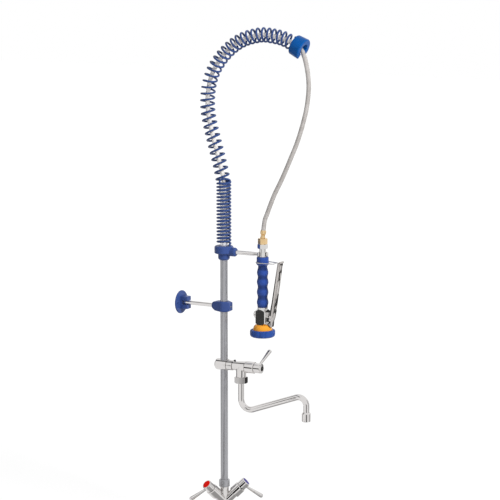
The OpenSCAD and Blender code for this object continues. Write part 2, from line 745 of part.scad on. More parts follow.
// The direction from the middle of the spring to the wire, after t turns
function radial(s, t) = let (d = along(s))
  cos(360 * t) * [0, -d[1], -d[0]] + sin(360 * t) * [1, 0, 0];

coil_turns = [for (i = [0:8 * turns]) i / 8];
coil_s = concat([0], [for (t = coil_turns) spring_s(t)], [spring_l]);
coil_side = [for (i = [0:len(coil_s) - 1])
  radial(coil_s[i], coil_turns[min(max(i - 1, 0), 8 * turns)])];
coil_points = [for (i = [0:len(coil_s) - 1]) to_3d(line_at(coil_s[i])) + coil_r * coil_side[i]];
spring_gap = min([for (i = [1:len(coil_points) - 8], j = [i + 5:min(i + 20, len(coil_points) - 2)])
  norm(coil_points[j] - coil_points[i])]) - wire_d;
echo(spring_gap = spring_gap, open_pitch = open_pitch, spring_l = spring_l);
echo(hose_l = max(distances(hose_route)));

module spring() color(blue)
  sweep(coil_points, coil_side, wire_d, 6, [0, 0, 1], [0, -ring_axis[0], ring_axis[1]]);

module hose() color("gainsboro") {
  p = [for (q = hose_route) to_3d(q)];
  sweep(p, [for (q = p) [1, 0, 0]], hose_d, 12, [0, 0, 1], [0, sin(ferrule_tilt), -cos(ferrule_tilt)]);
}

// The C-shaped ring, along the end of the spring's line, with its open side down
module spring_end_ring() color("royalblue")
  translate(to_3d(arch[len(arch) - 1])) rotate([90 + atan2(-ring_axis[1], ring_axis[0]), 0, 0])
    rotate([0, 0, ring_gap_to - 90]) rotate_extrude(angle = 360 - ring_gap_to + ring_gap_from)
      polygon(concat(
        [[ring_bore_r, 1], [ring_bore_r + 1, 0]], arc([ring_r - 4.5, 3], 3, -90, 0, 4),
        arc([ring_r - 3, ring_l - 3], 3, 0, 90, 4), [[ring_bore_r + 1, ring_l], [ring_bore_r, ring_l - 1]]));

module at_gun() translate([0, -gun_f, 0]) facing() children();

// The ferrule leans forward; its foot is cut level where it meets the nut
module hose_ferrule() color("goldenrod") at_gun() translate([0, 0, hose_end_z - ferrule_l])
  difference() {
    rotate([-ferrule_tilt, 0, 0]) rotate_extrude() polygon([
      [0, -1.5], [ferrule_r - 1, -1.5], [ferrule_r - 1, 3], [ferrule_r - 1.9, 4.5],
      [ferrule_r - 1.9, 9.5], [ferrule_r, 12.5], [ferrule_r, ferrule_l - 2.5],
      [ferrule_r - 1.5, ferrule_l], [0, ferrule_l]]);
    bar(3 * ferrule_r, -2 * ferrule_r, 0);
  }

module hose_nut() color("goldenrod") at_gun()
  turned_hex(hose_nut_af, swivel_z + swivel_h, swivel_z + swivel_h + hose_nut_h);

module swivel_nut() color(chrome) at_gun() difference() {
  turned_hex(swivel_af, swivel_z, swivel_z + swivel_h);
  bar(gun_tube_r + run_gap, swivel_z - eps, swivel_z + swivel_h - 2);
}

// ---- spray gun: +Y is the lever's side ----

module gun_tube() color(steel) at_gun() difference() {
  union() {
    bar(gun_tube_r, body_top - 8, swivel_z + swivel_h - 2.3);
    bar(gun_tube_r + collar_step, grip_top, eye_z + eye_h + 1);
    bar(gun_tube_r + 1, eye_z + eye_h + 1 - eps, swivel_z - turn_gap);
  }
  bar(gun_tube_r - 3, body_top - 8 - eps, swivel_z + swivel_h);
}

// Radius of the grip at knots of height above its lower end
grip_knots = [
  [0, 12.2], [2, 13.6], [13, lobe_r], [27, lobe_r - 2.5], [40.5, lobe_r], [54, lobe_r - 2.5],
  [67.5, lobe_r], [80.5, lobe_r - 2.5], [92, lobe_r - 0.3], [109, 12], [116.5, shoulder_r],
];
function grip_r(i, t) = grip_knots[i][1] + (grip_knots[i + 1][1] - grip_knots[i][1]) * ease(t);
function grip_h(i, t) = grip_knots[i][0] + (grip_knots[i + 1][0] - grip_knots[i][0]) * t;

module gun_grip() color(blue) at_gun() translate([0, 0, grip_bottom]) rotate_extrude() polygon(concat(
  [[gun_tube_r + seat_gap, 0]],
  [for (i = [0:len(grip_knots) - 2], k = [0:5]) [grip_r(i, k / 6), grip_h(i, k / 6)]],
  [[shoulder_r, 116.5], [shoulder_r, 118], [shoulder_r - 1.2, 118.1], [shoulder_r - 1.4, grip_l - 1.5],
   [shoulder_r - 2.9, grip_l], [gun_tube_r + seat_gap, grip_l]]));

module valve_bore(r, from, to) translate([0, 0, valve_axis_z]) rotate([-90, 0, 0]) bar(r, from, to);

module gun_body() color(chrome) at_gun() difference() {
  union() {
    intersection() {
      translate([0, 0, body_bottom]) linear_extrude(body_h) intersection() {
        square(body_w, center = true);
        rotate(45) square((body_w - 2) * sqrt(2), center = true);
      }
      rotate_extrude() polygon([
        [0, body_bottom], [body_w / 2, body_bottom], [body_w / 2 + 5, body_bottom + 4],
        [body_w / 2 + 5, body_top - 6], [body_w / 2 - 1, body_top], [0, body_top]]);
    }
    bar(body_w / 2 - 1, body_top - eps, grip_bottom);
    translate([0, 0, pin_z]) rotate([0, 90, 0]) translate([0, 0, -4.6]) {
      translate([0, pin_f, 0]) cylinder(r = 4.3, h = 9.2);
      translate([-4.3, body_w / 2 - 2, 0]) cube([6.3, pin_f - body_w / 2 + 2, 9.2]);
    }
  }
  bar(gun_tube_r + seat_gap, body_top - 8, grip_bottom + eps);
  translate([0, -5, 0]) bar(3.5, valve_axis_z, body_top - 7);
  valve_bore(chamber_r, -body_w / 2 - eps, -2);
  valve_bore(gun_stem_r + 1.5, -3, 2);
  valve_bore(gland_bore_r + seat_gap, 1, body_w / 2 + eps);
  bar(shaft_r + seat_gap, body_bottom - eps, body_bottom + 8);
  translate([0, 4.5, 0]) bar(2.5, body_bottom + 7, valve_axis_z);
  translate([-6, pin_f, pin_z]) rotate([0, 90, 0]) cylinder(r = pin_r + run_gap, h = 12);
}

module gun_plug() color(chrome) at_gun() translate([0, 0, valve_axis_z]) rotate([90, 0, 0]) difference() {
  union() {
    rotate_extrude() polygon(concat(
      [[0, body_w / 2], [plug_r, body_w / 2]],
      arc([plug_r - 4, body_w / 2 + 8.5 - 4], 4, 0, 90, 6),
      [[0, body_w / 2 + 8.5]]));
    bar(chamber_r - seat_gap, body_w / 2 - 2, body_w / 2 + eps);
  }
  bar(chamber_r - 2, body_w / 2 - 3, body_w / 2 + 6.5);
}

module gun_gland() color(chrome) at_gun() translate([0, 0, valve_axis_z]) rotate([-90, 0, 0])
  difference() {
    union() {
      bar(gland_bore_r, 8, body_w / 2 + eps);
      turned_hex(13, body_w / 2, body_w / 2 + 5);
    }
    bar(gun_stem_r + run_gap, 7, body_w / 2 + 6);
  }

module gun_stem() color("gray") at_gun() translate([0, 0, valve_axis_z]) rotate([-90, 0, 0]) {
  rotate_extrude() polygon(concat(
    [[0, -4], [gun_stem_r, -4]], arc([0, stem_tip_f - gun_stem_r], gun_stem_r, 0, 90, 5)));
  bar(gun_stem_r + 3, -5, -2 - run_gap);
}

module valve_spring() color("gray") at_gun() translate([0, 0, valve_axis_z]) rotate([90, 0, 0])
  ring(chamber_r - 2.3, chamber_r - 3.5, 5.05, body_w / 2 + 6.5);

module nozzle_cone() color("darkorange") at_gun() difference() {
  rotate_extrude() polygon([
    [0, body_bottom + 8], [shaft_r, body_bottom + 8], [shaft_r, body_bottom], [cone_top_r, body_bottom],
    [cone_r - 3.5, cone_z + bumper_h + 5.5], [cone_r, cone_z + bumper_h - 0.5], [cone_r, cone_z + 2],
    [0, cone_z + 2]]);
  rotate_extrude() polygon([
    [0, body_bottom - cone_wall], [cone_top_r - cone_wall, body_bottom - cone_wall],
    [cone_r - cone_wall - 3.5, cone_z + bumper_h + 3], [cone_r - cone_wall, cone_z + bumper_h - 3],
    [cone_r - cone_wall, cone_z + 2 + face_t], [cone_r - 1.4, cone_z + 2 + face_t],
    [cone_r - 1.4, cone_z], [0, cone_z]]);
  translate([0, 4.5, 0]) bar(2.5, body_bottom - cone_wall - 1, body_bottom + 9);
}

module spray_face() color("dimgray") at_gun() difference() {
  bar(cone_r - 1.4 - seat_gap, cone_z + 2, cone_z + 2 + face_t);
  for (n = [1:3], k = [0:6 * n - 1]) rotate([0, 0, 60 * k / n])
    translate([6 * n, 0, cone_z]) cylinder(r = 1, h = face_t + 4);
}

module bumper_ring() color(blue) at_gun() rotate_extrude() polygon(concat(
  [[cone_r + seat_gap, cone_z + bumper_h - 1]],
  [[cone_r + 1, cone_z + bumper_h], [bumper_r - 3, cone_z + bumper_h]],
  arc([bumper_r - 4, cone_z + bumper_h - 4], 4, 75, 0, 4),
  arc([bumper_r - 8, cone_z + 8], 8, 0, -80, 7),
  [[cone_r - 3, cone_z], [cone_r - 3, cone_z + 2], [cone_r + seat_gap, cone_z + 2]]));

// The lever in the frame of its pin: +Z along the sheet, +Y away from the gun
module at_pin() at_gun() translate([0, pin_f, pin_z]) rotate([-trigger_tilt, 0, 0]) children();

module lever_plan(cut) {
  w = trigger_w / 2 - cut;
  foot = trigger_foot_w / 2 - cut;
  polygon([[foot, -6], [foot, 10], [w, 24], [w, trigger_l + cut], [-w, trigger_l + cut], [-w, 24],
           [-foot, 10], [-foot, -6]]);
}

module gun_lever() color(steel) at_pin() difference() {
  intersection() {
    difference() {
      translate([0, trigger_d + sheet_t, 0]) rotate([90, 0, 0]) linear_extrude(12) lever_plan(0);
      translate([0, trigger_d, 0]) rotate([90, 0, 0]) linear_extrude(14) union() {
        lever_plan(flange_sheet);
        translate([-trigger_foot_w / 2 + flange_sheet, -8]) square([trigger_foot_w - 2 * flange_sheet, 8]);
        translate([-trigger_w / 2 + flange_sheet, trigger_l - 5]) square([trigger_w - 2 * flange_sheet, 8]);
      }
    }
    rotate([90, 0, 90]) translate([0, 0, -15]) linear_extrude(30) polygon([
      [trigger_d + sheet_t, -6], [-3, -6], [-4, 10], [-1, 60], [0.5, trigger_l - 3],
      [trigger_d, trigger_l], [trigger_d + sheet_t, trigger_l]]);
  }
  rotate([0, 90, 0]) translate([0, 0, -12]) cylinder(r = pin_r + seat_gap, h = 24);
}

module gun_lever_pin() color("gray") at_pin() rotate([0, 90, 0]) {
  bar(pin_r, -8, 8);
  for (x = [-8, 7]) bar(pin_r + 1.2, x, x + 1);
}

// A wire ring round the top of the grip: a half circle behind, corners and a bar in front
ring_turn = atan2(ring_corner[1], ring_corner[0])
  - acos((ring_back_r - ring_corner_r) / norm(ring_corner));

module hold_ring() color("gray") at_gun() {
  p = concat(
    arc([0, 0], ring_back_r, -180 - ring_turn, ring_turn, 20),
    arc(ring_corner, ring_corner_r, ring_turn, 90, 5),
    arc([-ring_corner[0], ring_corner[1]], ring_corner_r, 90, 180 - ring_turn, 5));
  sweep([for (q = p) [q[0], q[1], ring_z]], [for (q = p) [0, 0, 1]], 2 * ring_wire_r, 10);
}

// ---- the assembly ----

mixer_body();
base_seal();
mounting_shank();
on_arm(-1) cartridge();  // hot_cartridge
on_arm(1) cartridge();  // cold_cartridge
on_spout_valve() cartridge();  // spout_cartridge
on_arm(-1) bonnet();  // hot_bonnet
on_arm(1) bonnet();  // cold_bonnet
on_spout_valve() bonnet();  // spout_bonnet
on_arm(-1) stem();  // hot_stem
on_arm(1) stem();  // cold_stem
on_spout_valve() stem();  // spout_stem
on_arm(-1) rotate([0, 0, hot_lever_turn]) hub();  // hot_hub
on_arm(1) rotate([0, 0, cold_lever_turn]) hub();  // cold_hub
on_spout_valve() rotate([0, 0, spout_lever_angle]) hub();  // spout_hub
on_arm(-1) rotate([0, 0, hot_lever_turn]) lever();  // hot_lever
on_arm(1) rotate([0, 0, cold_lever_turn]) lever();  // cold_lever
on_spout_valve() rotate([0, 0, spout_lever_angle]) lever();  // spout_lever
on_arm(-1) button("red");  // hot_index
on_arm(1) button("blue");  // cold_index
on_spout_valve() button("dimgray");  // spout_cap
riser_nut();
riser_lower();
riser_upper();
tee_body();
union_nut();
spout_valve_body();
spout_lock_screw();
spout_nut();
spout_tube();
aerator_housing();
aerator_insert();
wall_clamp();
wall_clamp_screw();
wall_rod();
wall_flange();
wall_pivot_pin();
hook_clamp();
hook_clamp_screw();
hook_arm();
spring();
spring_end_ring();
hose();
hose_top_nut();
hose_ferrule();
hose_nut();
swivel_nut();
gun_tube();
gun_grip();
gun_body();
gun_plug();
gun_gland();
gun_stem();
valve_spring();
nozzle_cone();
spray_face();
bumper_ring();
gun_lever();
gun_lever_pin();
hold_ring();
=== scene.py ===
"""Looks of the pre rinse faucet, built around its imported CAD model.

Lengths in this file are in millimetres unless a name ends in _m; pieces are made in metres.
"""
import json
import math

import bpy
from mathutils import Matrix, Vector, noise


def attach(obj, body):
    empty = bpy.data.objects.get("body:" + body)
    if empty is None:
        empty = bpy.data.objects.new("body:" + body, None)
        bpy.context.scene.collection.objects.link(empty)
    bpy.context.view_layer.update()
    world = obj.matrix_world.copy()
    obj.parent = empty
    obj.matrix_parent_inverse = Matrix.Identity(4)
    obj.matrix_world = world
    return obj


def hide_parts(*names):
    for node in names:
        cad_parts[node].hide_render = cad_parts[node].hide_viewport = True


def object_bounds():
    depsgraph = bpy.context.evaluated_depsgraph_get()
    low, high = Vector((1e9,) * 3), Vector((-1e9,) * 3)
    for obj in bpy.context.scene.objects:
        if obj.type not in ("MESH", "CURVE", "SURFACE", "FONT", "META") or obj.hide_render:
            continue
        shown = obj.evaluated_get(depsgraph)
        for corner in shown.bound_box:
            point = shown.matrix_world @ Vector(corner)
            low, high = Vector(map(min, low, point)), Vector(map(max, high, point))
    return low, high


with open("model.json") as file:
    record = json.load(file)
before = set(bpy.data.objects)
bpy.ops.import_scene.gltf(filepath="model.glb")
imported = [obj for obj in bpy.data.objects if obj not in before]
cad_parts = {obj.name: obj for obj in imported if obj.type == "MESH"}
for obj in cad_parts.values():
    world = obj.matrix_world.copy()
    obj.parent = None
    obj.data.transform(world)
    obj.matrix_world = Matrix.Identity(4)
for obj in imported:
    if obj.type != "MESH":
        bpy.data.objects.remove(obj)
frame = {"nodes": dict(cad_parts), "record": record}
NODES = frame["nodes"]
cad_low, cad_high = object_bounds()
MM = 0.001

# ---------------------------------------------------------------- camera

CAMERA_DISTANCE_M = 5.5
CAMERA_HEIGHT_M = 1.6
CAMERA_AZIMUTH = math.radians(-60.0955)
CAMERA_TURN = math.radians(-0.7182)
CAMERA_PITCH = math.radians(9.0501)
CAMERA_LENS = 151.445

camera_data = bpy.data.cameras.new("camera")
camera = bpy.data.objects.new("camera", camera_data)
bpy.context.scene.collection.objects.link(camera)
bpy.context.scene.camera = camera
camera_data.sensor_width = 36
camera_data.lens = CAMERA_LENS
camera_data.clip_start = 0.1
camera_data.clip_end = 60
camera.location = (
    CAMERA_DISTANCE_M * math.sin(CAMERA_AZIMUTH),
    -CAMERA_DISTANCE_M * math.cos(CAMERA_AZIMUTH),
    CAMERA_HEIGHT_M,
)
camera.rotation_euler = (
    math.pi / 2 - CAMERA_PITCH,
    0,
    CAMERA_AZIMUTH + CAMERA_TURN,
)

# ---------------------------------------------------------------- materials


def new_material(name):
    material = bpy.data.materials.new(name)
    material.use_nodes = True
    tree = material.node_tree
    return material, tree, tree.nodes["Principled BSDF"]


def add(tree, kind, **values):
    """A node with its sockets and properties set by name."""
    node = tree.nodes.new(kind)
    for key, value in values.items():
        if key in node.inputs:
            node.inputs[key].default_value = value
        else:
            setattr(node, key, value)
    return node


def coordinates(tree, scale=(1, 1, 1), source="Object"):
    texture = add(tree, "ShaderNodeTexCoord")
    mapping = add(tree, "ShaderNodeMapping")
    mapping.inputs["Scale"].default_value = scale
    tree.links.new(texture.outputs[source], mapping.inputs["Vector"])
    return mapping.outputs["Vector"]


def noise_value(tree, vector, scale, detail=3.0, roughness=0.5):
    node = add(tree, "ShaderNodeTexNoise", Scale=scale, Detail=detail, Roughness=roughness)
    tree.links.new(vector, node.inputs["Vector"])
    return node.outputs["Fac"]


def ramp(tree, value, stops):
    """A colour ramp over a value; stops are (place, colour)."""
    node = add(tree, "ShaderNodeValToRGB")
    node.color_ramp.elements[0].position, node.color_ramp.elements[0].color = stops[0]
    node.color_ramp.elements[1].position, node.color_ramp.elements[1].color = stops[-1]
    for place, colour in stops[1:-1]:
        node.color_ramp.elements.new(place).color = colour
    tree.links.new(value, node.inputs["Fac"])
    return node.outputs["Color"]


def spread(tree, value, low=0.0, high=1.0, start=0.0, end=1.0, smooth=False):
    """A value from start..end spread over low..high."""
    node = add(tree, "ShaderNodeMapRange")
    if smooth:
        node.interpolation_type = "SMOOTHSTEP"
    limits = (("From Min", start), ("From Max", end), ("To Min", low), ("To Max", high))
    for socket, number in limits:
        node.inputs[socket].default_value = number
    tree.links.new(value, node.inputs["Value"])
    return node.outputs["Result"]


def mixed(tree, factor, first, second, blend="MIX"):
    """Two colours mixed; each argument is a socket, or a value for one."""
    node = add(tree, "ShaderNodeMix", data_type="RGBA", blend_type=blend)
    places = (node.inputs["Factor"], node.inputs[6], node.inputs[7])
    for place, value in zip(places, (factor, first, second)):
        if isinstance(value, bpy.types.NodeSocket):
            tree.links.new(value, place)
        else:
            place.default_value = value
    return node.outputs[2]


def place_parts(tree):
    """X, Y and Z of a point in the object's frame, in metres."""
    parts = add(tree, "ShaderNodeSeparateXYZ")
    tree.links.new(add(tree, "ShaderNodeTexCoord").outputs["Object"], parts.inputs[0])
    return parts.outputs


def bump(tree, shader, height, strength, distance_m):
    node = add(tree, "ShaderNodeBump", Strength=strength, Distance=distance_m)
    tree.links.new(height, node.inputs["Height"])
    tree.links.new(node.outputs["Normal"], shader.inputs["Normal"])


def rgba(colour, k=1.0):
    return (*[min(1.0, c * k) for c in colour], 1.0)


GRAIN = 60  # the grain of a metal with no direction


def metal(name, colour, rough_low, rough_high, grain=(GRAIN, GRAIN, GRAIN), bump_m=0.0,
          bump_scale=900, tint=0.06, solid=1.0):
    """A metal whose roughness and colour vary softly, with a fine surface."""
    material, tree, shader = new_material(name)
    shader.inputs["Metallic"].default_value = solid
    vector = coordinates(tree, grain)
    value = noise_value(tree, vector, 1.0, 4.0, 0.6)
    tree.links.new(spread(tree, value, rough_low, rough_high), shader.inputs["Roughness"])
    tree.links.new(
        ramp(tree, value, [(0.3, rgba(colour, 1 - tint)), (0.7, rgba(colour, 1 + tint))]),
        shader.inputs["Base Color"],
    )
    if bump_m:
        fine_grain = tuple(g * bump_scale / GRAIN for g in grain)
        fine = noise_value(tree, coordinates(tree, fine_grain), 1.0, 3.0)
        bump(tree, shader, fine, 0.5, bump_m)
    return material


def plastic(name, colour, rough, coat=0.0, bump_m=0.00002, bump_scale=1400, vary=0.12,
            gloss=0.25):
    """A moulded plastic or rubber: soft colour variation and a fine moulded grain."""
    material, tree, shader = new_material(name)
    vector = coordinates(tree)
    value = noise_value(tree, vector, 35.0, 4.0, 0.55)
    tree.links.new(
        ramp(tree, value, [(0.3, rgba(colour, 1 - vary)), (0.7, rgba(colour, 1 + vary))]),
        shader.inputs["Base Color"],
    )
    tree.links.new(spread(tree, value, rough * 0.85, rough * 1.15), shader.inputs["Roughness"])
    shader.inputs["Specular IOR Level"].default_value = gloss
    shader.inputs["Coat Weight"].default_value = coat
    shader.inputs["Coat Roughness"].default_value = 0.12
    grain = noise_value(tree, vector, bump_scale, 2.0)
    bump(tree, shader, grain, 0.35, bump_m)
    return material


def painted_light_above(material, low_m, high_m, colour):
    """Paints light into a material above a height: a lighter colour there stands in for light."""
    tree = material.node_tree
    target = tree.nodes["Principled BSDF"].inputs["Base Color"]
    old = target.links[0].from_socket
    level = spread(tree, place_parts(tree)["Z"], start=low_m, end=high_m, smooth=True)
    tree.links.new(mixed(tree, level, old, rgba(colour)), target)


def painted_shade_in_grooves(material, axis_y_m, low_m, high_m, shade):
    """Paints shade into the hollows of a turned piece: darker from a radius about its upright axis
    inwards.
    """
    tree = material.node_tree
    target = tree.nodes["Principled BSDF"].inputs["Base Color"]
    old = target.links[0].from_socket
    flat = add(tree, "ShaderNodeVectorMath", operation="MULTIPLY")
    flat.inputs[1].default_value = (1, 1, 0)
    tree.links.new(add(tree, "ShaderNodeTexCoord").outputs["Object"], flat.inputs[0])
    away = add(tree, "ShaderNodeVectorMath", operation="DISTANCE")
    tree.links.new(flat.outputs["Vector"], away.inputs[0])
    away.inputs[1].default_value = (0, axis_y_m, 0)
    level = spread(tree, away.outputs["Value"], start=low_m, end=high_m, smooth=True)
    tint = ramp(tree, level, [(0.0, (shade, shade, shade, 1)), (1.0, (1, 1, 1, 1))])
    tree.links.new(mixed(tree, 1.0, old, tint, "MULTIPLY"), target)


CHROME = metal("chrome", (0.70, 0.68, 0.67), 0.03, 0.09, (25, 25, 25), tint=0.02)
SATIN = metal("satin_steel", (0.40, 0.40, 0.42), 0.26, 0.36, (90, 90, 6), 0.00002, 1500, solid=0.75)
STEEL = metal("plain_steel", (0.55, 0.55, 0.56), 0.20, 0.32, (50, 50, 50), 0.00001, 1800)
NUT_STEEL = metal("swivel_chrome", (0.68, 0.67, 0.66), 0.04, 0.10, (40, 40, 40), tint=0.03)
BRASS = metal("brass", (0.78, 0.56, 0.30), 0.16, 0.28, bump_m=0.00001, bump_scale=1500, tint=0.1)
DARK_STEEL = metal("black_oxide", (0.05, 0.05, 0.055), 0.35, 0.5, bump_m=0.00001)
LEVER_STEEL = metal("lever_steel", (0.56, 0.53, 0.51), 0.06, 0.12, tint=0.04)
SPRING_BLUE = plastic("spring_coat", (0.032, 0.068, 0.215), 0.34, 0.0, 0.00002, 900)
CLAMP_BLUE = plastic("clamp_plastic", (0.042, 0.082, 0.27), 0.36)
RING_BLUE = plastic("ring_plastic", (0.001, 0.082, 0.32), 0.30, gloss=0.15)
GRIP_BLUE = plastic("grip_plastic", (0.026, 0.072, 0.32), 0.34, 0.0, 0.00004, 1800)
BUMPER_BLUE = plastic("bumper_rubber", (0.020, 0.068, 0.30), 0.42, 0.0, 0.00006, 900, 0.1)
CONE_ORANGE = plastic("cone_plastic", (0.88, 0.37, 0.035), 0.30, vary=0.10)
RED = plastic("red_plastic", (0.98, 0.006, 0.001), 0.35, vary=0.05, gloss=0.06)
BLUE = plastic("blue_plastic", (0.040, 0.022, 0.26), 0.35, gloss=0.08)
GREY = plastic("grey_plastic", (0.20, 0.20, 0.21), 0.45)
RUBBER = plastic("seal_rubber", (0.03, 0.03, 0.033), 0.6, 0.0, 0.00005, 900)

# Painted light and shade: the riser is painted lighter between the close coils, and the grip's hollows
# are painted darker
painted_light_above(SATIN, 0.725, 0.740, (0.86, 0.86, 0.89))
painted_shade_in_grooves(GRIP_BLUE, -0.117, 0.0128, 0.0150, 0.5)

# The hose gets a painted cream light inside the spring: behind the first pair of Y, and above the pair
# of Z
PAINTED_LIGHT_Y_M = (-0.12, -0.06)
PAINTED_LIGHT_Z_M = (1.266, 1.272)


def braid_material():
    """Woven stainless wires over the hose: greyer where it hangs free, and painted light inside the
    spring, where it is cream.
    """
    material, tree, shader = new_material("hose_braid")
    shader.inputs["Metallic"].default_value = 0.5
    vector = coordinates(tree)
    value = noise_value(tree, vector, 60.0, 3.0)
    worn = ramp(tree, value, [(0.3, (0.46, 0.43, 0.41, 1)), (0.7, (0.60, 0.57, 0.55, 1))])
    painted_light_cream = ramp(tree, value, [(0.3, (0.90, 0.86, 0.82, 1)), (0.7, (0.98, 0.95, 0.92, 1))])
    parts = place_parts(tree)
    # painted light: the braid turns cream where the hose runs inside the spring
    inside = add(tree, "ShaderNodeMath", operation="MAXIMUM")
    tree.links.new(spread(tree, parts["Y"], start=PAINTED_LIGHT_Y_M[0], end=PAINTED_LIGHT_Y_M[1]), inside.inputs[0])
    tree.links.new(spread(tree, parts["Z"], start=PAINTED_LIGHT_Z_M[0], end=PAINTED_LIGHT_Z_M[1]), inside.inputs[1])
    tree.links.new(mixed(tree, inside.outputs[0], worn, painted_light_cream), shader.inputs["Base Color"])
    tree.links.new(spread(tree, value, 0.28, 0.42), shader.inputs["Roughness"])
    return material


BRAID = braid_material()

SLOT_MATERIAL = {
    "chrome_brass": CHROME, "riser_steel": SATIN, "plain_steel": STEEL, "bare_brass": BRASS,
    "dark_steel": DARK_STEEL, "seal_rubber": RUBBER, "clamp_plastic": CLAMP_BLUE,
    "spring_coat": SPRING_BLUE, "ring_plastic": RING_BLUE, "grip_plastic": GRIP_BLUE,
    "bumper_rubber": BUMPER_BLUE, "cone_plastic": CONE_ORANGE, "red_plastic": RED,
    "blue_plastic": BLUE, "grey_plastic": GREY, "hose_braid": BRAID, "lever_steel": LEVER_STEEL,
}
NODE_SLOT = {p["node"]: p["material_slot"] for p in frame["record"]["subparts"]}
for node_name, node_object in NODES.items():
    node_object.data.materials.clear()
    node_object.data.materials.append(SLOT_MATERIAL[NODE_SLOT[node_name]])

NODES["hose_top_nut"].data.materials[0] = SATIN
for polished in ("gun_tube", "swivel_nut", "gun_body"):
    NODES[polished].data.materials[0] = NUT_STEEL

# ---------------------------------------------------------------- making pieces


def piece(name, points, faces, body, slot, matrix=None, replaces=(), sharp=40):
    """A mesh piece from points in millimetres, smooth but for edges sharper than an angle."""
    mesh = bpy.data.meshes.new(name)
    matrix = matrix or Matrix.Identity(4)
    mesh.from_pydata([(matrix @ Vector(p)) * MM for p in points], [], faces)
    mesh.validate()
    mesh.polygons.foreach_set("use_smooth", [True] * len(mesh.polygons))
    mesh.set_sharp_from_angle(angle=math.radians(sharp))
    mesh.materials.append(SLOT_MATERIAL[slot])
    made = bpy.data.objects.new(name, mesh)
    bpy.context.scene.collection.objects.link(made)
    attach(made, body)
    if replaces:
        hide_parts(*replaces)
    return made


def skin(rings, sides, closed, inward=False):
    """Faces over rings of points: quads between neighbours, and two end caps if it isn't closed."""
    faces = []
    for i in range(rings if closed else rings - 1):
        a, b = i * sides, (i + 1) % rings * sides
        for k in range(sides):
            q = (k + 1) % sides
            if inward:
                faces.append((a + k, b + k, b + q, a + q))
            else:
                faces.append((a + k, a + q, b + q, b + k))
    if not closed:
        start, end = range(sides), range((rings - 1) * sides, rings * sides)
        if inward:
            faces += [tuple(start), tuple(reversed(end))]
        else:
            faces += [tuple(reversed(start)), tuple(end)]
    return faces


def shifted(faces, count):
    """Faces whose points come after count others."""
    return [tuple(v + count for v in face) for face in faces]


def heading(points, i, first=None, last=None):
    """The direction of a line at point i; a line with no first direction is a closed loop."""
    n = len(points)
    if i == 0 and first is not None:
        return Vector(first)
    if i == n - 1 and last is not None:
        return Vector(last)
    after, before = points[(i + 1) % n], points[i - 1]
    return ((after - points[i]).normalized() + (points[i] - before).normalized()).normalized()


def tube(points, ups, radius, sides, first=None, last=None):
    """Points and faces of a tube; radius is a number, or a function of ring and side."""
    closed = first is None
    out, n = [], len(points)
    for i, p in enumerate(points):
        t = heading(points, i, first, last)
        u = (ups[i] - t * ups[i].dot(t)).normalized()
        v = t.cross(u)
        for k in range(sides):
            a = math.tau * k / sides
            r = radius(i, k) if callable(radius) else radius
            out.append(p + r * (math.cos(a) * u + math.sin(a) * v))
    return out, skin(n, sides, closed)


def catmull(points, n):
    """A smooth curve through points, n steps between each two."""
    out = []
    for i in range(len(points) - 1):
        a, b = Vector(points[max(i - 1, 0)]), Vector(points[i])
        c, d = Vector(points[i + 1]), Vector(points[min(i + 2, len(points) - 1)])
        for k in range(n):
            t = k / n
            out.append(
                0.5 * (2 * b + (c - a) * t + (2 * a - 5 * b + 4 * c - d) * t * t
                       + (3 * b - a - 3 * c + d) * t ** 3)
            )
    out.append(Vector(points[-1]))
    return out


def running_length(points):
    total = [0.0]
    for a, b in zip(points, points[1:]):
        total.append(total[-1] + (b - a).length)
    return total


def at_length(points, lengths, s):
    """The point of a line at a length along it."""
    s = min(max(s, 0.0), lengths[-1])
    low, high = 0, len(lengths) - 1
    while high - low > 1:
        middle = (low + high) // 2
        if lengths[middle] <= s:
            low = middle
        else:
            high = middle
    t = (s - lengths[low]) / (lengths[high] - lengths[low])
    return points[low].lerp(points[high], t)


# ---------------------------------------------------------------- the hose

RISER_TOP = 884
GUN_F = 117
FERRULE_L = 22
FERRULE_TILT = math.radians(6)
ARCH = [
    (-13, 73), (-23, 108), (-33, 143), (-42, 177), (-48, 212), (-48, 247), (-42, 283), (-30, 314),
    (-13, 340), (8, 363), (33, 383), (61, 398), (92, 407), (118, 411), (144, 409), (177, 403),
    (209, 389),
]
HOSE_FALL = [
    (221, 382), (231, 373), (237, 360), (242, 345), (248, 317), (251, 285), (249, 253), (244, 222),
    (236, 191), (226, 159), (214, 127), (200, 96), (186, 65), (170, 32), (153, 0), (139, -32),
    (130, -55), (124, -69), (121, -85),
]
HOSE_END = (GUN_F + FERRULE_L * math.sin(FERRULE_TILT), -98 - FERRULE_L * (1 - math.cos(FERRULE_TILT)))
HOSE_START = [(0, 16), (-1, 30), (-6, 50)]
HOSE_D = 12


def to_space(q):
    """A point (forward, above the riser's top) in the object's frame."""
    return Vector((0, -q[0], RISER_TOP + q[1]))


hose_line = [to_space(q) for q in catmull(HOSE_START + ARCH + HOSE_FALL + [HOSE_END], 8)]
hose_lengths = running_length(hose_line)
HOSE_STEP = 1.25
STRANDS = 10
BRAID_PITCH = 26
hose_rings = int(hose_lengths[-1] / HOSE_STEP)
hose_s = [hose_lengths[-1] * i / hose_rings for i in range(hose_rings + 1)]
hose_points = [at_length(hose_line, hose_lengths, s) for s in hose_s]
HOSE_SIDES = 40


def braid_radius(i, k):
    """Two families of flat bands that cross over and under each other."""
    turn = k / HOSE_SIDES
    along = hose_s[i] / BRAID_PITCH
    a = (turn + along) * STRANDS
    b = (turn - along) * STRANDS
    edge_a = abs((a % 1) - 0.5) * 2
    edge_b = abs((b % 1) - 0.5) * 2
    over = math.cos(math.pi * (math.floor(a) + math.floor(b)))
    band_a = (1 - edge_a ** 4) * (1 + 0.5 * over)
    band_b = (1 - edge_b ** 4) * (1 - 0.5 * over)
    return HOSE_D / 2 - 0.42 + 0.28 * max(band_a, band_b)


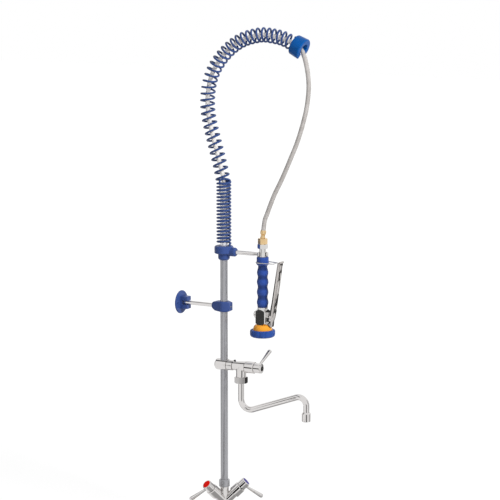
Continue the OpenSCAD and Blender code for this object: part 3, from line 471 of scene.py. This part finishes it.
hose_mesh = tube(hose_points, [Vector((1, 0, 0))] * len(hose_points), braid_radius, HOSE_SIDES,
                 (0, 0, 1), (0, math.sin(FERRULE_TILT), -math.cos(FERRULE_TILT)))
hose = piece("hose_braided", *hose_mesh, "root", "hose_braid", replaces=["hose"], sharp=75)

# ---------------------------------------------------------------- the spring

WIRE_D = 5.4
COIL_R = 17.5
CLOSE_COILS = 19
TURNS = CLOSE_COILS + 35.5
CLOSE_LENGTH = 173
PITCH_SPREAD = 0.12  # the coils stand wider apart at the foot of the arch than at its end
RING_AXIS = (0.905, -0.425)
spring_line = catmull([(0, z) for z in range(-148, 25, 4)] + [(-1, 20), (-6, 45)] + ARCH, 6)
spring_lengths = running_length(spring_line)
SPRING_LENGTH = spring_lengths[-1]
open_pitch = (SPRING_LENGTH - 2 * WIRE_D - CLOSE_LENGTH) / (TURNS - CLOSE_COILS)


def spring_place(turn):
    if turn < CLOSE_COILS:
        return WIRE_D + turn * CLOSE_LENGTH / CLOSE_COILS
    share = (turn - CLOSE_COILS) / (TURNS - CLOSE_COILS)
    return WIRE_D + CLOSE_LENGTH + (turn - CLOSE_COILS) * open_pitch * (1 + PITCH_SPREAD * (1 - share))


def spring_side(s, turn):
    after = at_length(spring_line, spring_lengths, s + 3)
    before = at_length(spring_line, spring_lengths, s - 3)
    d = (after - before).normalized()
    a = math.tau * turn
    return math.cos(a) * Vector((0, -d.y, -d.x)) + math.sin(a) * Vector((1, 0, 0))


STEPS = 24  # points of the wire in a turn
turn_list = [i / STEPS for i in range(int(TURNS * STEPS) + 1)]
place_list = [spring_place(t) for t in turn_list]
turn_list = [0.0] + turn_list + [TURNS]
place_list = [0.0] + place_list + [SPRING_LENGTH]
sides = [spring_side(s, t) for s, t in zip(place_list, turn_list)]
coil = [to_space(at_length(spring_line, spring_lengths, s)) + COIL_R * u
        for s, u in zip(place_list, sides)]
spring_mesh = tube(coil, sides, WIRE_D / 2, 12, (0, 0, 1), (0, -RING_AXIS[0], RING_AXIS[1]))
piece("spring_wire", *spring_mesh, "root", "spring_coat", replaces=["spring"], sharp=60)

# ---------------------------------------------------------------- the hold ring

RING_Z = 700.4
RING_BACK = 17.9
CORNER_R = 4.5
CORNER = Vector((9.8, 33.7))
ring_turn = math.atan2(CORNER.y, CORNER.x) - math.acos((RING_BACK - CORNER_R) / CORNER.length)


def arc(centre, radius, start, end, n):
    return [
        Vector((centre[0] + radius * math.cos(start + (end - start) * i / n),
                centre[1] + radius * math.sin(start + (end - start) * i / n)))
        for i in range(n + 1)
    ]


ring_path = (
    arc((0, 0), RING_BACK, -math.pi - ring_turn, ring_turn, 48)
    + arc(CORNER, CORNER_R, ring_turn, math.pi / 2, 12)
    + arc((-CORNER.x, CORNER.y), CORNER_R, math.pi / 2, math.pi - ring_turn, 12)
)
AT_GUN = Matrix.Translation((0, -GUN_F, 0)) @ Matrix.Rotation(math.pi, 4, "Z")
ring_points = [Vector((q.x, q.y, RING_Z)) for q in ring_path]
piece("hold_ring_wire", *tube(ring_points, [Vector((0, 0, 1))] * len(ring_points), 1.3, 16),
      "lock_ring", "plain_steel", AT_GUN, ["hold_ring"], sharp=60)

# ---------------------------------------------------------------- turned and moulded pieces


def turned(outline, n, start=0.0, turn=360.0, wave=None, round_end=0.0):
    """Points and faces of a closed (radius, height) outline turned about Z, in degrees. wave gives a
    radius from a radius, height and angle; a part turn can have its two ends rounded over a length."""
    whole = turn >= 360
    middle = Vector((sum(q[0] for q in outline), sum(q[1] for q in outline))) / len(outline)
    half = max(abs(q[1] - middle.y) for q in outline)
    places = [i / n for i in range(n if whole else n + 1)]
    if round_end:
        end = round_end / (math.radians(turn) * middle.x)
        steps = [end * (1 - math.cos(math.pi / 2 * k / 6)) for k in range(6)]
        places = steps + [p for p in places if end <= p <= 1 - end] + [1 - p for p in reversed(steps)]
    points = []
    for p in places:
        angle = math.radians(start + turn * p)
        scale = 1.0
        if round_end:
            near = min(p, 1 - p) / end
            if near < 1:
                scale = 1 - (1 - math.sqrt(1 - (1 - near) ** 2)) * round_end / half
        for r, z in outline:
            r, z = middle + (Vector((r, z)) - middle) * scale
            if wave:
                r = wave(r, z, angle)
            points.append(Vector((r * math.cos(angle), r * math.sin(angle), z)))
    return points, skin(len(places), len(outline), whole, inward=True)


def corner(r, z, radius, start, end, n=8):
    """Points round a corner whose arc has its centre at r, z."""
    return [
        (r + radius * math.cos(math.radians(start + (end - start) * k / n)),
         z + radius * math.sin(math.radians(start + (end - start) * k / n)))
        for k in range(n + 1)
    ]


def raised(outline, z):
    return [(r, h + z) for r, h in outline]


GRIP_TOP = RISER_TOP - 169
GRIP_L = 134
GRIP_BOTTOM = GRIP_TOP - GRIP_L
BODY_BOTTOM = GRIP_BOTTOM - 4 - 42
GUN_TUBE_R = 8
LOBE_R = 15.4
SHOULDER_R = 17.3
GRIP_KNOTS = [
    (0.6, 13.1), (2, 13.6), (13, LOBE_R), (27, LOBE_R - 2.5), (40.5, LOBE_R), (54, LOBE_R - 2.5),
    (67.5, LOBE_R), (80.5, LOBE_R - 2.5), (92, LOBE_R - 0.3), (109, 12), (116.3, SHOULDER_R - 0.2),
]
grip = [(GUN_TUBE_R + 0.1, 0), (12.4, 0)]
for (z0, r0), (z1, r1) in zip(GRIP_KNOTS, GRIP_KNOTS[1:]):
    for k in range(10):
        grip.append((r0 + (r1 - r0) * (1 - math.cos(math.pi * k / 10)) / 2, z0 + (z1 - z0) * k / 10))
grip += corner(SHOULDER_R - 0.6, 117.1, 0.6, -30, 80, 6)
grip += [(SHOULDER_R - 1.2, 118.1)]
grip += corner(SHOULDER_R - 2.9, GRIP_L - 1.5, 1.5, 0, 90, 6)
grip += [(GUN_TUBE_R + 0.1, GRIP_L)]
piece("grip_moulded", *turned(raised(grip, GRIP_BOTTOM), 96), "gun", "grip_plastic", AT_GUN,
      ["gun_grip"], 50)

BUMPER_R = 33.5
BUMPER_H = 19.5
CONE_R = BUMPER_R - 7.8
CONE_Z = BODY_BOTTOM - 33.5
SCALLOPS = 14


def scallop(r, z, angle):
    """Shallow hollows for the fingers round the outside of the bumper."""
    if r < CONE_R + 3:
        return r
    share = min(1.0, (r - CONE_R - 3) / 3)
    return r - 0.9 * share * (0.5 - 0.5 * math.cos(SCALLOPS * angle)) ** 3


bumper = (
    [(CONE_R + 0.1, BUMPER_H - 1)] + corner(CONE_R + 1.1, BUMPER_H - 1, 1, 180, 90, 4)
    + corner(BUMPER_R - 4, BUMPER_H - 4, 4, 80, 0, 8) + corner(BUMPER_R - 8, 8, 8, 0, -80, 12)
    + [(CONE_R - 2.4, 0.05), (CONE_R - 3, 0.6), (CONE_R - 3, 1.95), (CONE_R + 0.1, 1.95)]
)
piece("bumper_scalloped", *turned(raised(bumper, CONE_Z), 224, wave=scallop), "gun", "bumper_rubber",
      AT_GUN, ["bumper_ring"], 50)

flare = catmull([Vector(q) for q in
                 ((14.5, -0.4), (18.6, -1.0), (21.9, -3.6), (24.3, -8.2), (25.5, -14.3))], 8)
cone = (
    [(4, 7.9), (7.8, 7.9), (7.8, 0.0), (12, -0.1)] + [(q.x, q.y) for q in flare]
    + [(CONE_R, CONE_Z - BODY_BOTTOM + BUMPER_H - 1), (CONE_R, CONE_Z - BODY_BOTTOM + 2),
       (CONE_R - 1.4, CONE_Z - BODY_BOTTOM + 2), (CONE_R - 1.4, CONE_Z - BODY_BOTTOM + 5),
       (CONE_R - 3, CONE_Z - BODY_BOTTOM + 5), (CONE_R - 3, CONE_Z - BODY_BOTTOM + BUMPER_H - 3),
       (CONE_R - 6.5, CONE_Z - BODY_BOTTOM + BUMPER_H + 3), (13, -3), (4, -3)]
)
piece("cone_flared", *turned(raised(cone, BODY_BOTTOM), 96), "gun", "cone_plastic", AT_GUN,
      ["nozzle_cone"], 35)

RING_R, RING_BORE, RING_L = 28.5, 14, 30.5
end_ring = (
    corner(RING_BORE + 1.4, 1.4, 1.4, 180, 270, 5) + corner(RING_R - 4.5, 3, 3, -90, -10, 8)
    + corner(RING_R - 3, RING_L - 3, 3, 0, 90, 8)
    + corner(RING_BORE + 1.4, RING_L - 1.4, 1.4, 90, 180, 5)
)
ring_place = (
    Matrix.Translation(to_space(ARCH[-1]))
    @ Matrix.Rotation(math.radians(90) + math.atan2(-RING_AXIS[1], RING_AXIS[0]), 4, "X")
    @ Matrix.Rotation(math.radians(58 - 90), 4, "Z")
)
piece("end_ring_moulded", *turned(end_ring, 84, 0, 360 - 78, round_end=1.6), "root", "ring_plastic",
      ring_place, ["spring_end_ring"], 50)

FACING = Matrix.Rotation(math.pi, 4, "Z")
EYE_Z, EYE_H, EYE_R, EYE_BORE = GRIP_TOP + 1.5, 11, 15.5, 11.3
HOOK_Z = RISER_TOP - 148 - 15
ROD_START, ROD_END, ROD_R, ROD_STEPS = 24, 102.6, 5.6, 20
eye = (
    corner(EYE_BORE + 1.2, EYE_Z + 1.2, 1.2, 180, 270, 4)
    + corner(EYE_R - 1.8, EYE_Z + 1.8, 1.8, -90, 0, 6)
    + corner(EYE_R - 1.8, EYE_Z + EYE_H - 1.8, 1.8, 0, 90, 6)
    + corner(EYE_BORE + 1.2, EYE_Z + EYE_H - 1.2, 1.2, 90, 180, 4)
)
eye_points, eye_faces = turned(eye, 72, 75, 270, round_end=2.6)
eye_points = [p + Vector((0, GUN_F, 0)) for p in eye_points]
rod_line = [Vector((0, ROD_START + (ROD_END - ROD_START) * k / ROD_STEPS, HOOK_Z))
            for k in range(ROD_STEPS + 1)]


def rod_radius(i, k):
    """The rod narrows over its last three steps, where it meets the eye."""
    return ROD_R - 0.5 * max(0.0, (i - (ROD_STEPS - 3)) / 3)


rod_points, rod_faces = tube(rod_line, [Vector((0, 0, 1))] * len(rod_line), rod_radius, 40,
                             (0, 1, 0), (0, 1, 0))
hook_points = eye_points + rod_points
hook_faces = eye_faces + shifted(rod_faces, len(eye_points))
piece("hook_arm_forged", hook_points, hook_faces, "root", "chrome_brass", FACING, ["hook_arm"], 40)

# The threaded tube below the deck
SHANK_R, SHANK_L, SHANK_SIDES = 16.5, 55, 60
THREAD, THREAD_DEPTH, THREAD_STEPS = 1.8, 0.95, 8
NECK_TOP = 14


def threaded():
    """A tube whose outside carries a helical thread that fades out at both ends."""
    steps = int(SHANK_L / THREAD * THREAD_STEPS)
    points = []
    for i in range(steps + 1):
        z = -SHANK_L + SHANK_L * i / steps
        fade = max(0.0, min(1.0, (z + SHANK_L - 0.6) / 1.8, (-z - 3) / 2))
        end = max(0.0, 1 - (z + SHANK_L) / 1.4)
        for k in range(SHANK_SIDES):
            a = math.tau * k / SHANK_SIDES
            phase = (z / THREAD - k / SHANK_SIDES) % 1
            r = SHANK_R - THREAD_DEPTH * fade * abs(2 * phase - 1) - end
            points.append(Vector((r * math.cos(a), r * math.sin(a), z)))
    neck_r, bore_r = SHANK_R - 1.5, SHANK_R - 4
    top = [(neck_r, 0), (neck_r, NECK_TOP), (bore_r, NECK_TOP), (bore_r, -SHANK_L)]
    for r, z in top:
        for k in range(SHANK_SIDES):
            a = math.tau * k / SHANK_SIDES
            points.append(Vector((r * math.cos(a), r * math.sin(a), z)))
    return points, skin(steps + 1 + len(top), SHANK_SIDES, True)


piece("shank_threaded", *threaded(), "root", NODE_SLOT["mounting_shank"], None, ["mounting_shank"], 25)

# The pressed lever, in the frame of its pin: Z along the sheet, Y away from the gun
PIN_F, PIN_Z = 25, BODY_BOTTOM + 2
TRIGGER_L, TRIGGER_W, FOOT_W, TRIGGER_D, SHEET = 171, 22, 13, 4.8, 2
LEVER_FOOT = -5  # clear of the cone
FLANGE, BEND, HOLLOW_DEPTH = 1.6, 2.2, 1.9
FRONT_STEPS, LEVER_STEPS, CURL_STEPS = 22, 176, 16
LEAN = math.radians(-8.4)
AT_PIN = AT_GUN @ Matrix.Translation((0, PIN_F, PIN_Z)) @ Matrix.Rotation(LEAN, 4, "X")


def lever_width(z):
    t = min(1.0, max(0.0, (z - 8) / 18))
    return (FOOT_W + (TRIGGER_W - FOOT_W) * t * t * (3 - 2 * t)) / 2


def lever_edge(z):
    """How far the side flanges reach towards the gun."""
    knots = [(-6, -3), (10, -4), (60, -1), (TRIGGER_L - 3, 0.5), (TRIGGER_L, TRIGGER_D - 0.6)]
    for (z0, y0), (z1, y1) in zip(knots, knots[1:]):
        if z <= z1:
            return y0 + (y1 - y0) * (z - z0) / (z1 - z0)
    return TRIGGER_D - 0.6


def pressed(x, z):
    """The shallow hammered hollows of the front of the sheet."""
    fade = min(1.0, max(0.0, (z - 4) / 12), max(0.0, (TRIGGER_L - 4 - z) / 8))
    across = max(0.0, 1 - (abs(x) / (lever_width(z) - 2)) ** 4)
    broad = noise.noise(Vector((x / 20, z / 22, 4.2)))
    hollow = broad + 0.08 * noise.noise(Vector((x / 8, z / 9, 9.1)))
    return HOLLOW_DEPTH * fade * across * hollow


BEND_TURNS = (0, 0.4, 0.8, 1.2)
levels = [LEVER_FOOT + (TRIGGER_L - LEVER_FOOT) * i / LEVER_STEPS for i in range(LEVER_STEPS + 1)]


def lever_section(z):
    """The sheet's outline at a height: left flange, front, right flange, and back inside."""
    w, e, f = lever_width(z), lever_edge(z), TRIGGER_D + SHEET
    front = [(-w + BEND) + 2 * (w - BEND) * k / FRONT_STEPS for k in range(FRONT_STEPS + 1)]
    back = [(w - FLANGE) * (1 - 2 * k / FRONT_STEPS) for k in range(FRONT_STEPS + 1)]
    loop = [(-w, e), (-w, (e + f - BEND) / 2)]
    loop += [(-w + BEND - BEND * math.cos(a), f - BEND + BEND * math.sin(a)) for a in BEND_TURNS]
    loop += [(x, f + pressed(x, z)) for x in front]
    loop += [(w - BEND + BEND * math.cos(a), f - BEND + BEND * math.sin(a))
             for a in reversed(BEND_TURNS)]
    loop += [(w, (e + f - BEND) / 2), (w, e), (w - FLANGE, e), (w - FLANGE, (e + TRIGGER_D) / 2)]
    loop += [(x, TRIGGER_D + 0.7 * pressed(x, z)) for x in back]
    return loop + [(-w + FLANGE, (e + TRIGGER_D) / 2), (-w + FLANGE, e)]


sections = [lever_section(z) for z in levels]
lever_points = [Vector((x, y, z)) for z, loop in zip(levels, sections) for x, y in loop]
lever_faces = skin(len(levels), len(sections[0]), False)
curl_line = [
    Vector((-TRIGGER_W / 2 - 0.4 + (TRIGGER_W + 0.8) * k / CURL_STEPS, TRIGGER_D + 1.4,
            TRIGGER_L - 1.2))
    for k in range(CURL_STEPS + 1)
]


def curl_radius(i, k):
    """The rolled tip is thinner towards its two ends."""
    return 3.1 - 1.0 * (abs(i - CURL_STEPS / 2) / (CURL_STEPS / 2)) ** 6


curl_points, curl_faces = tube(curl_line, [Vector((0, 0, 1))] * len(curl_line), curl_radius, 28,
                               (1, 0, 0), (1, 0, 0))
lever_faces += shifted(curl_faces, len(lever_points))
piece("lever_pressed", lever_points + curl_points, lever_faces, "squeeze_lever", "lever_steel", AT_PIN,
      ["gun_lever"], 45)

# ---------------------------------------------------------------- studio

FLOOR_Z_M = cad_low.z - 0.0005
DAYLIGHT = 0.30


def seen_white(tree, glow, other):
    """What the camera, a reflection or a pane sees is one thing, and what lights the object another."""
    path = add(tree, "ShaderNodeLightPath")
    either = add(tree, "ShaderNodeMath", operation="ADD")
    any_of = add(tree, "ShaderNodeMath", operation="ADD", use_clamp=True)
    tree.links.new(path.outputs["Is Camera Ray"], either.inputs[0])
    tree.links.new(path.outputs["Is Glossy Ray"], either.inputs[1])
    tree.links.new(either.outputs[0], any_of.inputs[0])
    tree.links.new(path.outputs["Is Transmission Ray"], any_of.inputs[1])
    mix = add(tree, "ShaderNodeMixShader")
    tree.links.new(any_of.outputs[0], mix.inputs[0])
    tree.links.new(other, mix.inputs[1])
    tree.links.new(glow, mix.inputs[2])
    return mix.outputs[0]


floor_mesh = bpy.data.meshes.new("floor")
floor_mesh.from_pydata([(-15, -15, 0), (15, -15, 0), (15, 15, 0), (-15, 15, 0)], [], [(0, 1, 2, 3)])
floor = bpy.data.objects.new("floor", floor_mesh)
floor.location = (0, 0, FLOOR_Z_M)
bpy.context.scene.collection.objects.link(floor)
material, tree, shader = new_material("floor")
shader.inputs["Base Color"].default_value = (0.75, 0.75, 0.75, 1)
shader.inputs["Roughness"].default_value = 0.9
shown = add(tree, "ShaderNodeBsdfDiffuse")
shown.inputs["Color"].default_value = (0.5, 0.5, 0.5, 1)
away = add(tree, "ShaderNodeVectorMath", operation="LENGTH")
tree.links.new(coordinates(tree), away.inputs[0])
glow = add(tree, "ShaderNodeEmission")
# The seen floor glows a little more far away, where less of the lamps' light reaches it
rise = spread(tree, away.outputs["Value"], 0.72, 0.90, start=0.3, end=4.0, smooth=True)
tree.links.new(rise, glow.inputs["Strength"])
both = add(tree, "ShaderNodeAddShader")
tree.links.new(shown.outputs[0], both.inputs[0])
tree.links.new(glow.outputs[0], both.inputs[1])
reflected = add(tree, "ShaderNodeEmission", Strength=1.0)
seen = add(tree, "ShaderNodeMixShader")
tree.links.new(add(tree, "ShaderNodeLightPath").outputs["Is Camera Ray"], seen.inputs[0])
tree.links.new(reflected.outputs[0], seen.inputs[1])
tree.links.new(both.outputs[0], seen.inputs[2])
surface = seen_white(tree, seen.outputs[0], shader.outputs[0])
tree.links.new(surface, tree.nodes["Material Output"].inputs["Surface"])
floor_mesh.materials.append(material)

world = bpy.data.worlds.new("studio")
bpy.context.scene.world = world
world.use_nodes = True
tree = world.node_tree
daylight = tree.nodes["Background"]
daylight.inputs["Color"].default_value = (1, 1, 1, 1)
daylight.inputs["Strength"].default_value = DAYLIGHT
white = add(tree, "ShaderNodeBackground", Strength=1.0)
white.inputs["Color"].default_value = (1, 1, 1, 1)
surface = seen_white(tree, white.outputs[0], daylight.outputs[0])
tree.links.new(surface, tree.nodes["World Output"].inputs["Surface"])


def area_light(name, location, target, size_m, watts):
    """A square lamp that lights the object but isn't mirrored in it."""
    data = bpy.data.lights.new(name, "AREA")
    data.size = size_m
    data.energy = watts
    light = bpy.data.objects.new(name, data)
    bpy.context.scene.collection.objects.link(light)
    light.location = location
    light.rotation_euler = (Vector(target) - Vector(location)).to_track_quat("-Z", "Y").to_euler()
    light.visible_glossy = False


area_light("key", (-0.8, -3.1, 2.6), (0, 0, 0.7), 1.1, 108)
area_light("eye_light", (-3.6, -2.2, 1.8), (0, 0, 0.8), 1.0, 28)


def card(name, place, aim, wide_m, tall_m, shade, soft_m):
    """A panel that only reflections see, as the flags round a product in a studio. It faces the point
    aim, and its edges fade out over soft_m."""
    w, h = wide_m / 2, tall_m / 2
    mesh = bpy.data.meshes.new(name)
    mesh.from_pydata([(-w, -h, 0), (w, -h, 0), (w, h, 0), (-w, h, 0)], [], [(0, 1, 2, 3)])
    made = bpy.data.objects.new(name, mesh)
    made.location = place
    made.rotation_euler = (Vector(aim) - Vector(place)).to_track_quat("Z", "Y").to_euler()
    bpy.context.scene.collection.objects.link(made)
    material, tree, shader = new_material(name)
    parts = place_parts(tree)
    fades = []
    for axis, half in (("X", w), ("Y", h)):
        size = add(tree, "ShaderNodeMath", operation="ABSOLUTE")
        tree.links.new(parts[axis], size.inputs[0])
        fades.append(spread(tree, size.outputs[0], start=half, end=half - soft_m, smooth=True))
    solid = add(tree, "ShaderNodeMath", operation="MULTIPLY")
    tree.links.new(fades[0], solid.inputs[0])
    tree.links.new(fades[1], solid.inputs[1])
    clear = add(tree, "ShaderNodeBsdfTransparent")
    dark = add(tree, "ShaderNodeEmission", Strength=1.0)
    dark.inputs["Color"].default_value = (shade, shade, shade, 1)
    mix = add(tree, "ShaderNodeMixShader")
    tree.links.new(solid.outputs[0], mix.inputs[0])
    tree.links.new(clear.outputs[0], mix.inputs[1])
    tree.links.new(dark.outputs[0], mix.inputs[2])
    tree.links.new(mix.outputs[0], tree.nodes["Material Output"].inputs["Surface"])
    mesh.materials.append(material)
    made.visible_camera = False
    made.visible_diffuse = False
    made.visible_shadow = False
    made.visible_transmission = False


# place, aim, width, height, shade and soft edge; set for reflections seen from the camera
card("flag_gun", (-0.70, 0.27, 0.40), (0, -0.117, 0.55), 0.20, 0.32, 0.06, 0.04)
card("flag_lever", (0.58, -0.44, 0.36), (0, -0.165, 0.61), 0.20, 0.42, 0.05, 0.04)
card("flag_left", (-0.20, 1.10, 0.50), (0, 0, 0.55), 0.45, 1.3, 0.12, 0.12)
card("flag_right", (0.30, -1.10, 0.50), (0, 0, 0.55), 0.40, 1.3, 0.12, 0.12)
card("flag_front", (-0.56, -0.59, 0.19), (0, -0.05, 0.36), 0.46, 0.44, 0.20, 0.08)
card("flag_valve", (-0.20, 0.49, 1.20), (0, -0.05, 0.38), 0.50, 0.28, 0.15, 0.08)
card("flag_arm", (-0.04, 0.80, 1.18), (0, -0.17, 0.33), 0.80, 0.30, 0.20, 0.10)
card("flag_hose", (-0.68, 0.10, 0.90), (0, -0.30, 1.05), 0.34, 0.75, 0.20, 0.10)
card("flag_low", (-0.48, -0.11, 0.04), (0.009, -0.02, 0.058), 0.28, 0.26, 0.01, 0.015)
card("flag_deck", (0.0, -0.12, FLOOR_Z_M + 0.006), (0.0, -0.12, 3.0), 0.40, 0.40, 0.40, 0.10)
card("flag_behind", (0.65, 0.55, FLOOR_Z_M + 0.006), (0.65, 0.55, 3.0), 0.50, 0.34, 0.40, 0.12)

bpy.context.scene.view_settings.view_transform = "Standard"
